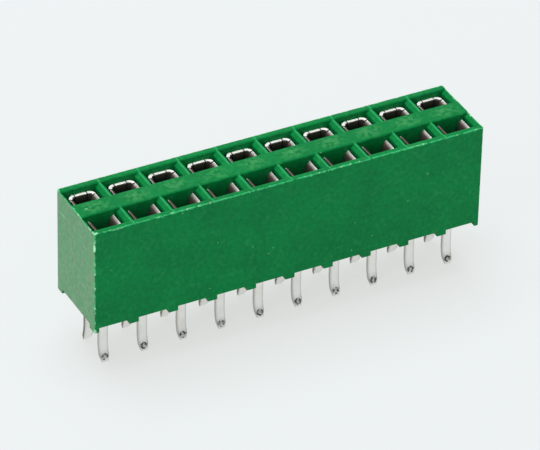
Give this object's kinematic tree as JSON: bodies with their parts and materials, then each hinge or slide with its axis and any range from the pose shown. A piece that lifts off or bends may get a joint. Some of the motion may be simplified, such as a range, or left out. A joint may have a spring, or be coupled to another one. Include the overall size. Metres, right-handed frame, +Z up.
{
  "type": "socket header",
  "caption": "Straight two-row socket header for a circuit board: green moulded housing with square sockets, and tin-plated sprung contacts whose flat tails solder through the board.",
  "frame": {"origin": "centre of the field of twenty tails, on the plane of the circuit board's surface, which the undersides of the housing's feet rest on", "axes": "+X along the rows, +Y from the front row to the back row, +Z up, out of the mouths of the sockets"},
  "size_m": [0.0254, 0.005, 0.0103],
  "materials": {
    "housing_plastic": "fine satin, moulded, green glass-filled thermoplastic",
    "tin_plate": "bright tin over stamped copper alloy strip"
  },
  "bodies": {
    "root": {"housing": "housing_plastic", "back_contact_01": "tin_plate", "back_contact_02": "tin_plate", "back_contact_03": "tin_plate", "back_contact_04": "tin_plate", "back_contact_05": "tin_plate", "back_contact_06": "tin_plate", "back_contact_07": "tin_plate", "back_contact_08": "tin_plate", "back_contact_09": "tin_plate", "back_contact_10": "tin_plate", "front_contact_01": "tin_plate", "front_contact_02": "tin_plate", "front_contact_03": "tin_plate", "front_contact_04": "tin_plate", "front_contact_05": "tin_plate", "front_contact_06": "tin_plate", "front_contact_07": "tin_plate", "front_contact_08": "tin_plate", "front_contact_09": "tin_plate", "front_contact_10": "tin_plate"}
  },
  "joints": []
}
